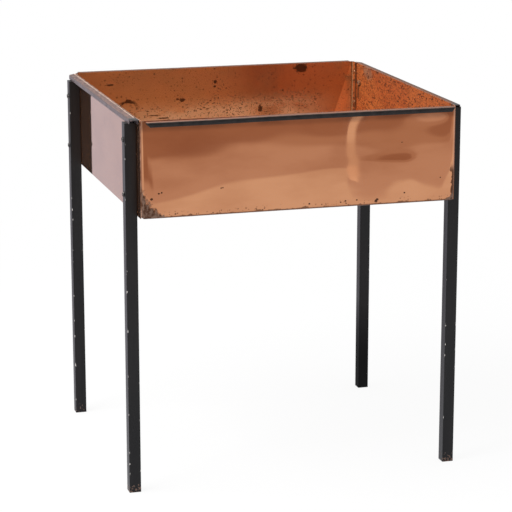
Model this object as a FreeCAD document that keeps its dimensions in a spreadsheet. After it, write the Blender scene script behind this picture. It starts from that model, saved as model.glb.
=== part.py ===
import FreeCAD, Part
import math
import os
import re

import Sketcher
from FreeCAD import Placement, Rotation, Vector

# Flower table: an open copper tray hung between four square steel legs.
# Millimetres, +Z up, the front towards -Y, the origin on the floor under the middle of the tray.

# Driving dimensions
SIZES = {
    "table_height": 548,
    "tray_width": 466,
    "tray_depth": 457,
    "tray_height": 139,
    "sheet": 1.0,
    "bend_radius": 4,
    "tab_width": 18,
    "panel_corner": 2,
    "strip_width": 12,
    "strip_lip": 6.6,
    "strip_sheet": 1.2,
    "strip_bend": 1.5,
    "strip_end_gap": 0.5,
    "flange_taper": 1.5,
    "lip_taper": 5,
    "leg_size": 17,
    "leg_edge": 0.8,
    "leg_setback": 25,
    "screw_diameter": 4,
    "screw_clearance": 0.5,
    "screw_inset": 30.5,
    "screw_tip": 0.8,
    "head_diameter": 8,
    "head_height": 2.6,
    "nut_across": 7,
    "nut_height": 3.2,
    "rivet_diameter": 3,
    "rivet_inset": 16,
    "rivet_pitch": 50,
    "rivet_head": 6,
    "rivet_head_height": 1.5,
    "fit_gap": 0.1,
}

# Places that several pieces share, worked out from the driving dimensions
TRAY_BASE = "(table_height - tray_height)"
PAN_WIDTH = "(tray_width - 2 * sheet)"
LEG_LENGTH = "(table_height - strip_lip)"
LEG_X = "(tray_width / 2 + leg_size / 2)"
LEG_Y = "(tray_depth / 2 - leg_setback - leg_size / 2)"
SCREW_HOLE = "(screw_diameter + screw_clearance)"
SCREW_LENGTH = "(leg_size + sheet + nut_height + screw_tip)"
SCREW_HEIGHTS = ("(table_height - screw_inset)", f"({TRAY_BASE} + screw_inset)")
RIVET_Y = "(tray_depth / 2 - tab_width / 2)"
RIVET_HEIGHTS = ("(table_height - rivet_inset)", "(table_height - rivet_inset - rivet_pitch)")
SIDES = {"left": -1, "right": 1}
ENDS = {"front": -1, "back": 1}

doc = FreeCAD.newDocument("flower_table")
sheet = doc.addObject("Spreadsheet::Sheet", "dims")
for row, (name, size) in enumerate(SIZES.items(), start=1):
    sheet.set(f"A{row}", name)
    sheet.set(f"B{row}", str(size))
    sheet.setAlias(f"B{row}", name)
doc.recompute()


def formula(text):
    """Point each dimension's name in a formula at its cell."""
    def cell(match):
        word = match.group()
        return f"dims.{word}" if word in SIZES else word
    return re.sub(r"[a-z_]+", cell, text)


def bind(item, prop, text):
    item.setExpression(prop, formula(text))


def new_body(label):
    body = doc.addObject("PartDesign::Body", label)
    body.Label = label
    return body


def new_sketch(body, role, lift="0"):
    """Start a sketch on one of the body's own planes, lifted along the plane's normal."""
    plane = next(item for item in body.Origin.OriginFeatures if item.Role == role)
    sketch = body.newObject("Sketcher::SketchObject", f"{body.Label}_sketch")
    sketch.AttachmentSupport = [(plane, "")]
    sketch.MapMode = "FlatFace"
    bind(sketch, "AttachmentOffset.Base.z", lift)
    return sketch


def locate(sketch, curve, point, across, up):
    """Tie one point of a sketch to its place, measured from the sketch's origin."""
    for kind, text in (("DistanceX", across), ("DistanceY", up)):
        index = sketch.addConstraint(Sketcher.Constraint(kind, -1, 1, curve, point, 1.0))
        bind(sketch, f"Constraints[{index}]", text)


def polygon(sketch, corners):
    """Draw a closed outline through corners that are given as formulas."""
    count = len(corners)
    first = sketch.GeometryCount
    turns = [2 * math.pi * i / count for i in range(count)]
    spots = [Vector(math.cos(turn), math.sin(turn), 0) for turn in turns]
    for i in range(count):
        sketch.addGeometry(Part.LineSegment(spots[i], spots[(i + 1) % count]), False)
    for i in range(count):
        sketch.addConstraint(Sketcher.Constraint("Coincident", first + i, 2, first + (i + 1) % count, 1))
    for i, (across, up) in enumerate(corners):
        locate(sketch, first + i, 1, across, up)


def rectangle(sketch, left, right, low, high):
    polygon(sketch, [(left, low), (right, low), (right, high), (left, high)])


def circle(sketch, across, up, diameter):
    curve = sketch.addGeometry(Part.Circle(Vector(0, 0, 0), Vector(0, 0, 1), 1.0), False)
    locate(sketch, curve, 3, across, up)
    index = sketch.addConstraint(Sketcher.Constraint("Diameter", curve, 2.0))
    bind(sketch, f"Constraints[{index}]", diameter)


def pad(body, sketch, length, side="One side", back=False):
    feature = body.newObject("PartDesign::Pad", f"{body.Label}_pad")
    feature.Profile = sketch
    feature.SideType = side
    feature.Reversed = back
    bind(feature, "Length", length)
    doc.recompute()
    return feature


def pocket(body, sketch, length):
    """Cut a sketch through a body both ways, and make sure that the cut took something away."""
    volume = body.Shape.Volume
    feature = body.newObject("PartDesign::Pocket", f"{body.Label}_pocket")
    feature.Profile = sketch
    feature.SideType = "Symmetric"
    bind(feature, "Length", length)
    doc.recompute()
    if body.Shape.Volume >= volume:
        raise RuntimeError(f"{feature.Label} cuts nothing")
    return feature


def soften(body, kind, size, wanted):
    """Round or bevel the edges of a body that a test picks."""
    base = body.Tip
    picked = [
        f"Edge{number}"
        for number, edge in enumerate(base.Shape.Edges, start=1)
        if wanted(edge)
    ]
    feature = body.newObject(f"PartDesign::{kind}", f"{body.Label}_{kind.lower()}")
    feature.Base = (base, picked)
    bind(feature, "Radius" if kind == "Fillet" else "Size", size)
    doc.recompute()
    return feature


def is_along(edge, axis):
    """Tell whether an edge is a straight line along an axis."""
    if not isinstance(edge.Curve, (Part.Line, Part.LineSegment)):
        return False
    return abs(abs(edge.tangentAt(edge.FirstParameter).dot(axis)) - 1) < 1e-6


def place(item, across, deep, up):
    bind(item, "Placement.Base.x", across)
    bind(item, "Placement.Base.y", deep)
    bind(item, "Placement.Base.z", up)


def rivet_holes(sketch):
    """Draw the rivet holes of the two tabs at one end of the tray."""
    for sign in ENDS.values():
        for height in RIVET_HEIGHTS:
            circle(sketch, f"{sign} * {RIVET_Y}", height, "rivet_diameter + fit_gap")


X_AXIS = Vector(1, 0, 0)
Z_AXIS = Vector(0, 0, 1)
parts = []


# Tray pan: one copper sheet folded into the floor, the front and back walls, and the low tabs
# that turn round the corners and up from the floor to carry the end panels.
def make_tray_pan():
    body = new_body("tray_pan")
    blank = new_sketch(body, "XY_Plane", TRAY_BASE)
    rectangle(
        blank,
        f"-{PAN_WIDTH} / 2",
        f"{PAN_WIDTH} / 2",
        "-tray_depth / 2",
        "tray_depth / 2",
    )
    block = pad(body, blank, "tray_height")
    top = max(vertex.Point.z for vertex in block.Shape.Vertexes)
    soften(body, "Fillet", "bend_radius", lambda edge: min(vertex.Point.z for vertex in edge.Vertexes) < top)

    rounded = body.Tip
    open_face = max(range(len(rounded.Shape.Faces)), key=lambda i: rounded.Shape.Faces[i].CenterOfMass.z)
    shell = body.newObject("PartDesign::Thickness", "tray_pan_shell")
    shell.Base = (rounded, [f"Face{open_face + 1}"])
    shell.Reversed = True
    bind(shell, "Value", "sheet")
    doc.recompute()

    window = new_sketch(body, "YZ_Plane")
    rectangle(
        window,
        "-(tray_depth / 2 - tab_width)",
        "tray_depth / 2 - tab_width",
        f"{TRAY_BASE} + tab_width",
        "table_height + sheet",
    )
    pocket(body, window, "2 * tray_width")

    holes = new_sketch(body, "YZ_Plane")
    rivet_holes(holes)
    pocket(body, holes, "2 * tray_width")
    parts.append(body)


# End panels: flat copper sheets that close the two ends, outside the tabs of the pan.
def make_end_panel(side, sign):
    body = new_body(f"end_panel_{side}")
    outline = new_sketch(body, "YZ_Plane")
    rectangle(
        outline,
        "-(tray_depth / 2 - bend_radius)",
        "tray_depth / 2 - bend_radius",
        TRAY_BASE,
        "table_height",
    )
    pad(body, outline, "sheet", "Symmetric")
    soften(body, "Chamfer", "panel_corner", lambda edge: is_along(edge, X_AXIS))

    holes = new_sketch(body, "YZ_Plane")
    rivet_holes(holes)
    for end_sign in ENDS.values():
        for height in SCREW_HEIGHTS:
            circle(holes, f"{end_sign} * {LEG_Y}", height, SCREW_HOLE)
    pocket(body, holes, "4 * sheet")
    place(body, f"{sign} * (tray_width / 2 - sheet / 2)", "0", "0")
    parts.append(body)


# Rim strips: steel folded to a channel, soldered along the top of each wall. The cut ends
# draw in over the flange and run on at a steeper slant down the outer lip.
def make_rim_strip(name, length, turn, across, deep):
    body = new_body(f"rim_strip_{name}")
    half = f"({length}) / 2"
    section = new_sketch(body, "YZ_Plane")
    rectangle(section, "-strip_width", "0", "-strip_lip", "0")
    pad(body, section, length, "Symmetric")
    soften(
        body,
        "Fillet",
        "strip_bend",
        lambda edge: is_along(edge, X_AXIS) and edge.Vertexes[0].Point.z > -1e-6,
    )

    hollow = new_sketch(body, "YZ_Plane")
    rectangle(hollow, "-(strip_width - strip_sheet)", "-strip_sheet", "-2 * strip_lip", "-strip_sheet")
    pocket(body, hollow, f"2 * ({length})")

    flange_ends = new_sketch(body, "XY_Plane")
    lip_ends = new_sketch(body, "XZ_Plane")
    for sign in SIDES.values():
        tip = f"{sign} * {half}"
        polygon(
            flange_ends,
            [(tip, "0"), (tip, "-strip_width"), (f"{sign} * ({half} - flange_taper)", "-strip_width")],
        )
        polygon(
            lip_ends,
            [
                (f"{sign} * ({half} - flange_taper)", "-strip_sheet"),
                (f"{sign} * ({half} + flange_taper)", "-strip_sheet"),
                (f"{sign} * ({half} + flange_taper)", "-strip_lip"),
                (f"{sign} * ({half} - flange_taper - lip_taper)", "-strip_lip"),
            ],
        )
    pocket(body, flange_ends, "4 * strip_lip")
    pocket(body, lip_ends, "4 * strip_width")
    body.Placement = Placement(Vector(0, 0, 0), Rotation(Z_AXIS, turn))
    place(body, across, deep, "table_height")
    parts.append(body)


# Legs: square steel bar, cross-drilled for two screws, standing under the rim strips at the sides.
def make_leg(end, end_sign, side, side_sign):
    body = new_body(f"leg_{end}_{side}")
    section = new_sketch(body, "XY_Plane")
    rectangle(section, "-leg_size / 2", "leg_size / 2", "-leg_size / 2", "leg_size / 2")
    pad(body, section, LEG_LENGTH)
    soften(body, "Chamfer", "leg_edge", lambda edge: is_along(edge, Z_AXIS))
    holes = new_sketch(body, "YZ_Plane")
    for height in SCREW_HEIGHTS:
        circle(holes, "0", height, SCREW_HOLE)
    pocket(body, holes, "2 * leg_size")
    place(body, f"{side_sign} * {LEG_X}", f"{end_sign} * {LEG_Y}", "0")
    parts.append(body)


# One of each fastener, lying along +X from the outside of the left end towards the inside.
def make_screw():
    body = new_body("screw")
    head = new_sketch(body, "YZ_Plane")
    circle(head, "0", "0", "head_diameter")
    pad(body, head, "head_height", back=True)
    shank = new_sketch(body, "YZ_Plane")
    circle(shank, "0", "0", "screw_diameter")
    pad(body, shank, SCREW_LENGTH)
    return body


def make_nut():
    body = new_body("nut")
    hexagon = new_sketch(body, "YZ_Plane")
    corners = [
        (f"nut_across / sqrt(3) * cos({60 * i} deg)", f"nut_across / sqrt(3) * sin({60 * i} deg)")
        for i in range(6)
    ]
    polygon(hexagon, corners)
    circle(hexagon, "0", "0", "screw_diameter + fit_gap")
    pad(body, hexagon, "nut_height")
    return body


def make_rivet():
    body = new_body("rivet")
    head = new_sketch(body, "YZ_Plane", "2 * sheet")
    circle(head, "0", "0", "rivet_head")
    pad(body, head, "rivet_head_height")
    shank = new_sketch(body, "YZ_Plane")
    circle(shank, "0", "0", "rivet_diameter")
    pad(body, shank, "2 * sheet")
    return body


def make_group(label, master, reach, deep, heights, step=0):
    """Set copies of one fastener at both ends of the tray, front and back, at each height."""
    copies = []
    for side_sign in SIDES.values():
        turn = Rotation(Z_AXIS, 0 if side_sign < 0 else 180)
        for end_sign in ENDS.values():
            for height in heights:
                copy = doc.addObject("App::Link", f"{master.Label}_copy")
                copy.setLink(master)
                roll = Rotation(X_AXIS, step * len(copies))
                copy.Placement = Placement(Vector(0, 0, 0), turn * roll)
                place(copy, f"{side_sign} * {reach}", f"{end_sign} * {deep}", height)
                copies.append(copy)
    group = doc.addObject("Part::Compound", label)
    group.Label = label
    group.Links = copies
    doc.recompute()
    parts.append(group)


make_tray_pan()
for side, sign in SIDES.items():
    make_end_panel(side, sign)
for end, sign in ENDS.items():
    wall_length = "tray_width - 2 * (sheet + bend_radius + strip_end_gap)"
    make_rim_strip(end, wall_length, 0 if sign < 0 else 180, "0", f"{sign} * tray_depth / 2")
for side, sign in SIDES.items():
    wall_length = "tray_depth - 2 * (bend_radius + strip_end_gap)"
    make_rim_strip(side, wall_length, 90 * sign, f"{sign} * tray_width / 2", "0")
for end, end_sign in ENDS.items():
    for side, side_sign in SIDES.items():
        make_leg(end, end_sign, side, side_sign)

# Fastener groups: each screw passes a leg and an end panel, and its nut sits inside the tray.
# The nuts stand at odd angles, as a spanner leaves them.
NUT_STEP = 52
panel_inside = "(tray_width / 2 - sheet)"
make_group("leg_screws", make_screw(), "(tray_width / 2 + leg_size)", LEG_Y, SCREW_HEIGHTS)
make_group("leg_nuts", make_nut(), panel_inside, LEG_Y, SCREW_HEIGHTS, NUT_STEP)
make_group("corner_rivets", make_rivet(), "(tray_width / 2)", RIVET_Y, RIVET_HEIGHTS)

doc.recompute()
for item in doc.Objects:
    if "Invalid" in item.State or "Error" in item.State:
        raise RuntimeError(f"{item.Label} failed: {item.State}")
os.makedirs("parts", exist_ok=True)
for part in parts:
    if part.Shape.isNull() or not part.Shape.isValid():
        raise RuntimeError(f"{part.Label} has no valid shape")
    part.Shape.exportStep(f"parts/{part.Label}.step")
    print(part.Label, len(part.Shape.Solids), "solids", round(part.Shape.Volume), "mm3")
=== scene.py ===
import math

import bmesh
import bpy
from mathutils import Matrix, Vector, noise


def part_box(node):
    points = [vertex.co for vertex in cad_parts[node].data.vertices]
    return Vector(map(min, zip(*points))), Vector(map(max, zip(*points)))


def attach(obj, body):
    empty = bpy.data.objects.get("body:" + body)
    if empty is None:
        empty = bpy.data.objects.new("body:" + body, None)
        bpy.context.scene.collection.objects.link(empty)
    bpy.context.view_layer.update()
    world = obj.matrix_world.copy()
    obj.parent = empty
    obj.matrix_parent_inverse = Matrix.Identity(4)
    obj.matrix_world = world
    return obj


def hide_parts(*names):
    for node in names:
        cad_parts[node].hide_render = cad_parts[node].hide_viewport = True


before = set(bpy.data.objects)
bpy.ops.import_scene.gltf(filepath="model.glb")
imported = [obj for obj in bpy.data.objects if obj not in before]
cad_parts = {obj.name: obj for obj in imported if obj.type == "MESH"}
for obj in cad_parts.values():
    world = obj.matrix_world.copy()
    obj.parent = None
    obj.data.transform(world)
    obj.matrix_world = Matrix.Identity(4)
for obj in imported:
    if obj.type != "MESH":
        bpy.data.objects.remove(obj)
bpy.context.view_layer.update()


# Tray
# One sheet of copper, polished outside and gone dull and spotted inside. It is folded up into the
# floor, the front and back walls, and the narrow tabs that turn the corners to carry the end panels.
TRAY_LOW, TRAY_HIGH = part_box("tray_pan")
SHEET = 0.001
BEND = 0.004
TAB = 0.018
CELL = 0.020
CELL_CUTS = 3
SMOOTH_ANGLE = 35


def block(name, low, high):
    """Add a cube between two corners and leave it in edit mode."""
    bpy.ops.object.select_all(action="DESELECT")
    bpy.ops.mesh.primitive_cube_add(size=1, location=(low + high) / 2, scale=high - low)
    piece = bpy.context.object
    piece.name = name
    piece.data.name = name
    bpy.ops.object.transform_apply()
    bpy.ops.object.mode_set(mode="EDIT")
    return piece


def pick(piece, kind, wanted):
    """Select the points, edges or faces of a piece in edit mode that pass a test."""
    bpy.ops.mesh.select_mode(type=kind)
    bpy.ops.mesh.select_all(action="DESELECT")
    mesh = bmesh.from_edit_mesh(piece.data)
    for item in {"VERT": mesh.verts, "EDGE": mesh.edges, "FACE": mesh.faces}[kind]:
        item.select_set(wanted(item))
    mesh.select_flush_mode()
    bmesh.update_edit_mesh(piece.data)


def along(edge, axis):
    """Tell whether an edge runs along an axis."""
    run = edge.verts[1].co - edge.verts[0].co
    return abs(run[axis]) > 0.99 * run.length


def cut(axis, place):
    """Cut the piece in edit mode right across an axis."""
    spot = Vector()
    spot[axis] = place
    facing = Vector()
    facing[axis] = 1
    bpy.ops.mesh.select_all(action="SELECT")
    bpy.ops.mesh.bisect(plane_co=spot, plane_no=facing)


def slice_up(axis, low, high, step):
    """Cut the piece in edit mode into even slices along an axis."""
    count = round((high - low) / step)
    for i in range(1, count):
        cut(axis, low + (high - low) * i / count)


def apply_modifier(piece, kind, **settings):
    modifier = piece.modifiers.new(kind.title(), kind)
    for name, value in settings.items():
        setattr(modifier, name, value)
    bpy.context.view_layer.objects.active = piece
    bpy.ops.object.modifier_apply(modifier=modifier.name)


def choose(piece):
    """Make a piece the only selected one."""
    bpy.ops.object.select_all(action="DESELECT")
    piece.select_set(True)
    bpy.context.view_layer.objects.active = piece


def smooth(piece, degrees=SMOOTH_ANGLE):
    """Shade a piece smooth, apart from edges sharper than an angle."""
    choose(piece)
    bpy.ops.object.shade_smooth_by_angle(angle=math.radians(degrees))


def fit(piece, node_name):
    """Hang a finished piece on the frame, in place of its plain solid."""
    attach(piece, "root")
    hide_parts(node_name)


tray = block("copper_tray", TRAY_LOW, TRAY_HIGH)
pick(tray, "FACE", lambda face: face.normal.z > 0.9)
bpy.ops.mesh.delete(type="FACE")
pick(tray, "EDGE", lambda edge: min(end.co.z for end in edge.verts) < TRAY_HIGH.z - SHEET)
bpy.ops.mesh.bevel(offset=BEND, segments=5, affect="EDGES")
for wall in (TRAY_LOW.y + TAB, TRAY_HIGH.y - TAB):
    cut(1, wall)
cut(2, TRAY_LOW.z + TAB)


def in_window(face):
    """Tell whether a face of an end wall lies in the opening that the end panel closes."""
    middle = face.calc_center_median()
    in_end = abs(abs(middle.x) - TRAY_HIGH.x) < SHEET / 10
    return in_end and abs(middle.y) < TRAY_HIGH.y - TAB and middle.z > TRAY_LOW.z + TAB


pick(tray, "FACE", in_window)
bpy.ops.mesh.delete(type="FACE")
slice_up(0, TRAY_LOW.x + BEND, TRAY_HIGH.x - BEND, CELL)
slice_up(1, TRAY_LOW.y + BEND, TRAY_HIGH.y - BEND, CELL)
slice_up(2, TRAY_LOW.z + BEND, TRAY_HIGH.z, CELL)
bpy.ops.mesh.select_all(action="SELECT")
bpy.ops.mesh.subdivide(number_cuts=CELL_CUTS)
bpy.ops.object.mode_set(mode="OBJECT")

# The walls aren't flat. The front one leans in and out along its length, with a crease across the
# middle and a dimple under the rim, and the others have shallow lumps.
LEAN = 0.0057
LEAN_BIAS = -0.0008
LEAN_CREST = -0.002
LEAN_SPAN_LEFT, LEAN_SPAN_RIGHT = 0.54, 0.55
LIFT = 0.0050
LIFT_START, LIFT_END = 0.125, 0.19
LIFT_FOOT = 0.484
CREASE_SLOPE = 0.012
CREASE_HEIGHT = 0.476
CREASE_WIDTH = 0.006
CREASE_START, CREASE_END = -0.07, 0.178
CREASE_RISE, CREASE_STOP = 0.15, 0.02
DIMPLE = Vector((0.206, 0.0, 0.546))
DIMPLE_DEPTH = 0.00033
DIMPLE_WIDTH, DIMPLE_HEIGHT = 0.040, 0.014
LUMP, DEEPER = 0.00025, 2
LUMPS_ACROSS, LUMPS_UP = 9, 14
FRONT_SEED, BACK_SEED, FLOOR_SEED = 1, 5, 9
CORNER_CALM = 0.014
RIM_CALM = 0.0066
FLOOR_CALM = 0.06


def ease(value, low, high):
    """Rise smoothly from 0 at low to 1 at high."""
    share = min(max((value - low) / (high - low), 0), 1)
    return share * share * (3 - 2 * share)


def lump(across, up, seed):
    """Give a random low swelling of a wall."""
    return LUMP * noise.noise(Vector((across * LUMPS_ACROSS, up * LUMPS_UP, seed)))


def front_swell(x, z):
    """Give how far the front wall stands out from flat."""
    span = LEAN_SPAN_LEFT if x < LEAN_CREST else LEAN_SPAN_RIGHT
    lean = LEAN_BIAS + LEAN * math.cos(2 * math.pi * (x - LEAN_CREST) / span)
    lift = LIFT * ease(x, LIFT_START, LIFT_END) * (max(z, LIFT_FOOT) - TRAY_HIGH.z)
    crease_span = ease(x, CREASE_START, CREASE_START + CREASE_RISE) * ease(CREASE_END - x, 0, CREASE_STOP)
    crease = CREASE_SLOPE * CREASE_WIDTH * (1 - math.erf((z - CREASE_HEIGHT) / CREASE_WIDTH))
    dimple = ((x - DIMPLE.x) / DIMPLE_WIDTH) ** 2 + ((z - DIMPLE.z) / DIMPLE_HEIGHT) ** 2
    swell = lean * (z - TRAY_HIGH.z) + crease_span * crease + DIMPLE_DEPTH * math.exp(-dimple)
    return swell + lift + lump(x, z, FRONT_SEED)


for vertex in tray.data.vertices:
    x, y, z = vertex.co
    calm = ease(TRAY_HIGH.x - BEND - abs(x), 0, CORNER_CALM) * ease(TRAY_HIGH.z - z, 0, RIM_CALM)
    if y < TRAY_LOW.y + FLOOR_CALM:
        near = ease(TRAY_LOW.y + FLOOR_CALM - y, 0, FLOOR_CALM - BEND)
        vertex.co.y -= calm * near * front_swell(x, z)
    elif y > TRAY_HIGH.y - SHEET:
        vertex.co.y += calm * ease(z - TRAY_LOW.z - BEND, 0, CORNER_CALM) * DEEPER * lump(x, z, BACK_SEED)
    elif abs(z - TRAY_LOW.z) < SHEET / 10:
        raised = DEEPER * abs(lump(x, y, FLOOR_SEED))
        vertex.co.z += calm * ease(TRAY_HIGH.y - y, BEND, FLOOR_CALM) * raised


# The helpers for finishes all add their nodes to the tree that was started last.
tree = None
MIDDLE_BLEND = 0.1


def plug(item, inputs):
    """Feed a node's inputs with values or other nodes' outputs."""
    for name, value in inputs.items():
        if isinstance(value, bpy.types.NodeSocket):
            tree.links.new(value, item.inputs[name])
        else:
            item.inputs[name].default_value = value


def node(kind, inputs=None, **settings):
    """Add a node, set it up, and feed its inputs."""
    item = tree.nodes.new("ShaderNode" + kind)
    for name, value in settings.items():
        setattr(item, name, value)
    plug(item, inputs or {})
    return item


def calc(operation, first, second=0.0, clamp=False):
    return node("Math", {0: first, 1: second}, operation=operation, use_clamp=clamp).outputs[0]


def vector(operation, first, second=(0, 0, 0)):
    return node("VectorMath", {0: first, 1: second}, operation=operation).outputs["Vector"]


def split(value):
    """Give the three parts of a place."""
    parts = node("SeparateXYZ", {"Vector": value}).outputs
    return parts["X"], parts["Y"], parts["Z"]


def mix(share, first, second):
    """Blend two colours."""
    return node("Mix", {0: share, 6: first, 7: second}, data_type="RGBA").outputs[2]


def ramp(value, low, high, start=0.0, end=1.0):
    """Carry a value smoothly from one span to another."""
    spans = {"Value": value, "From Min": low, "From Max": high, "To Min": start, "To Max": end}
    return node("MapRange", spans, interpolation_type="SMOOTHSTEP").outputs["Result"]


def below(value, limit, blur):
    """Mask where a value is under a limit, with a soft edge."""
    return ramp(value, limit + blur, limit - blur)


def one_side(value, toward):
    """Mask the half of the table on one side of its middle."""
    return ramp(value, -MIDDLE_BLEND * toward, MIDDLE_BLEND * toward)


def cloud(place, scale, detail=3.0, stretch=(1, 1, 1)):
    """Give a soft random field, as coarse as the scale says and drawn out along an axis."""
    spread = vector("MULTIPLY", place, stretch)
    return node("TexNoise", {"Vector": spread, "Scale": scale, "Detail": detail}).outputs[0]


def either(*masks):
    """Join masks: the strongest one counts."""
    joined = masks[0]
    for mask in masks[1:]:
        joined = calc("MAXIMUM", joined, mask)
    return joined


def both(*masks):
    """Keep a mask only where the others are."""
    joined = masks[0]
    for mask in masks[1:]:
        joined = calc("MULTIPLY", joined, mask)
    return joined


def rgb(red, green, blue):
    return (red, green, blue, 1.0)


def new_group(name, inputs, output):
    """Start a shader node group with named sockets, and give its two ends."""
    global tree
    tree = bpy.data.node_groups.new(name, "ShaderNodeTree")
    for label, kind, value in inputs:
        socket = tree.interface.new_socket(label, in_out="INPUT", socket_type="NodeSocket" + kind)
        socket.default_value = value
    tree.interface.new_socket(output, in_out="OUTPUT", socket_type="NodeSocketFloat")
    given, result = tree.nodes.new("NodeGroupInput"), tree.nodes.new("NodeGroupOutput")
    return given.outputs, result.inputs[output]


SPOT_WOBBLE, SPOT_EDGE, STAIN_EDGE = 0.7, 0.1, 0.7


def make_spots():
    """Build the group for spots of corrosion: scattered dots, each of its own size."""
    inputs = (("Vector", "Vector", (0, 0, 0)), ("Scale", "Float", 60.0),
              ("Share", "Float", 0.3), ("Size", "Float", 0.4))
    given, result = new_group("corrosion_spots", inputs, "Mask")
    finer = calc("MULTIPLY", given["Scale"], 2.0)
    wobble = node("TexNoise", {"Vector": given["Vector"], "Scale": finer, "Detail": 2.0})
    shift = vector("SUBTRACT", wobble.outputs["Color"], (0.5, 0.5, 0.5))
    reach = calc("DIVIDE", SPOT_WOBBLE, given["Scale"])
    scaled = node("VectorMath", {0: shift, "Scale": reach}, operation="SCALE").outputs["Vector"]
    moved = vector("ADD", given["Vector"], scaled)
    cells = node("TexVoronoi", {"Vector": moved, "Scale": given["Scale"]})
    chance = node("SeparateColor", {"Color": cells.outputs["Color"]}).outputs["Red"]
    rank = calc("SUBTRACT", 1.0, calc("DIVIDE", chance, given["Share"]))
    radius = calc("MULTIPLY", rank, given["Size"])
    depth = calc("SUBTRACT", radius, cells.outputs["Distance"])
    tree.links.new(calc("DIVIDE", depth, SPOT_EDGE, clamp=True), result)
    return tree


def make_stain():
    """Build the group for one stain: a ragged patch about a centre."""
    inputs = (("Vector", "Vector", (0, 0, 0)), ("Centre", "Vector", (0, 0, 0)),
              ("Reach", "Vector", (1, 1, 1)), ("Ragged", "Float", 0.5), ("Grain", "Float", 150.0))
    given, result = new_group("stain", inputs, "Mask")
    offset = vector("SUBTRACT", given["Vector"], given["Centre"])
    scaled = vector("DIVIDE", offset, given["Reach"])
    length = node("VectorMath", {0: scaled}, operation="LENGTH").outputs["Value"]
    grain = {"Vector": given["Vector"], "Scale": given["Grain"], "Detail": 3.0}
    rough = calc("SUBTRACT", node("TexNoise", grain).outputs[0], 0.5)
    ragged = calc("MULTIPLY", rough, given["Ragged"])
    tree.links.new(ramp(calc("ADD", length, ragged), 1.0, STAIN_EDGE), result)
    return tree


def make_smoke():
    """Build the group for smoky tarnish: soft clouds drawn out sideways."""
    given, result = new_group("smoky_tarnish", (("Vector", "Vector", (0, 0, 0)),), "Mask")
    tree.links.new(cloud(given["Vector"], 8.0, 4.0, (1, 1, 2.6)), result)
    return tree


spots_group = make_spots()
stain_group = make_stain()
smoke_group = make_smoke()


def spots(place, scale, share, size):
    """Mask spots: how close they lie, how many there are, and how large they get."""
    inputs = {"Vector": place, "Scale": scale, "Share": share, "Size": size}
    return node("Group", inputs, node_tree=spots_group).outputs["Mask"]


def stain(place, centre, reach, ragged=1.0, grain=220.0):
    """Mask one stain: its centre, how far it reaches each way, and how ragged and fine its edge is."""
    inputs = {"Vector": place, "Centre": centre, "Reach": reach, "Ragged": ragged, "Grain": grain}
    return node("Group", inputs, node_tree=stain_group).outputs["Mask"]


def start_finish(name):
    """Start a material, and give it with its shader and the place on the piece."""
    global tree
    material = bpy.data.materials.new(name)
    material.use_nodes = True
    tree = material.node_tree
    return material, tree.nodes["Principled BSDF"], node("TexCoord").outputs["Object"]


def feed(skin, **sockets):
    """Feed the shader's sockets, named with _ for the space."""
    plug(skin, {name.replace("_", " "): value for name, value in sockets.items()})


def bump(height, depth):
    return node("Bump", {"Height": height, "Strength": 1.0, "Distance": depth}).outputs["Normal"]


COPPER_CLEAN = rgb(0.630, 0.270, 0.122)
COPPER_DULL = rgb(0.540, 0.212, 0.088)
COPPER_BURNT_AND_SHADE = rgb(0.105, 0.042, 0.022)
COPPER_OXIDE = rgb(0.265, 0.165, 0.120)
POLISHED_ROUGH, SMOKED_ROUGH = 0.012, 0.030
COAT, COAT_ROUGH = 0.8, 0.05
STRAY_PITS, PIT_FREE = (75.0, 0.07, 0.17), 0.002
FRONT_PITS = ((0.112, 0.4155, 2.0), (0.114, 0.4175, 1.7), (0.012, 0.417, 1.2), (-0.208, 0.445, 1.2),
              (-0.204, 0.446, 1.1), (-0.2185, 0.4375, 1.6), (0.155, 0.425, 1.1), (0.210, 0.4445, 0.9),
              (0.1505, 0.499, 0.9), (-0.118, 0.4475, 0.9), (-0.1155, 0.448, 0.8), (0.066, 0.418, 1.2),
              (0.059, 0.4165, 0.9), (0.083, 0.4185, 0.9))
PIT, PIT_EDGE = Vector((0.0014, 0.02, 0.0012)), (1.4, 900.0)
SOLDER_ACROSS, SOLDER_UP = 0.046, 0.050
SOLDER_BOW, SOLDER_RAGGED, SOLDER_SMALL = 0.6, 0.5, 0.45
RIM_SHADE_LOW, RIM_SHADE_HIGH = 0.5295, 0.5375
BURNT_LOW, BURNT_HIGH, BURNT_BLUR = 0.0026, 0.0058, 0.0006
BURNT_SPECKS, SPECKS_TOP, SPECKS_FULL = (330.0, 0.55, 0.52), 0.0120, 0.0040
BROWN_NARROW, BROWN_WIDE, BROWN_BLUR = 0.0040, 0.0076, 0.0005
BROWN_TOP, BROWN_FULL = 0.466, 0.450


def polished_skin(place):
    """The polished face that all outer sides share: colour, roughness, and pits as a mask."""
    smoke = node("Group", {"Vector": place}, node_tree=smoke_group).outputs["Mask"]
    colour = mix(ramp(smoke, 0.40, 0.70), COPPER_CLEAN, COPPER_DULL)
    rough = ramp(smoke, 0.25, 0.75, POLISHED_ROUGH, SMOKED_ROUGH)
    pit_start = TRAY_LOW.y + PIT_FREE
    behind = ramp(split(place)[1], pit_start, pit_start + BEND)
    return colour, rough, both(behind, spots(place, *STRAY_PITS))


def burnt_edge(place):
    """Where the lower edge has gone dark, creeping up unevenly from the fold, with specks above it."""
    above = calc("SUBTRACT", split(place)[2], TRAY_LOW.z)
    climb = ramp(cloud(place, 70.0, 5.0), 0.48, 0.72, BURNT_LOW, BURNT_HIGH)
    specks = both(spots(place, *BURNT_SPECKS), ramp(above, SPECKS_TOP, SPECKS_FULL),
                  ramp(cloud(place, 34.0), 0.42, 0.56))
    return either(below(calc("SUBTRACT", above, climb), 0.0, BURNT_BLUR), specks)


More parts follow.
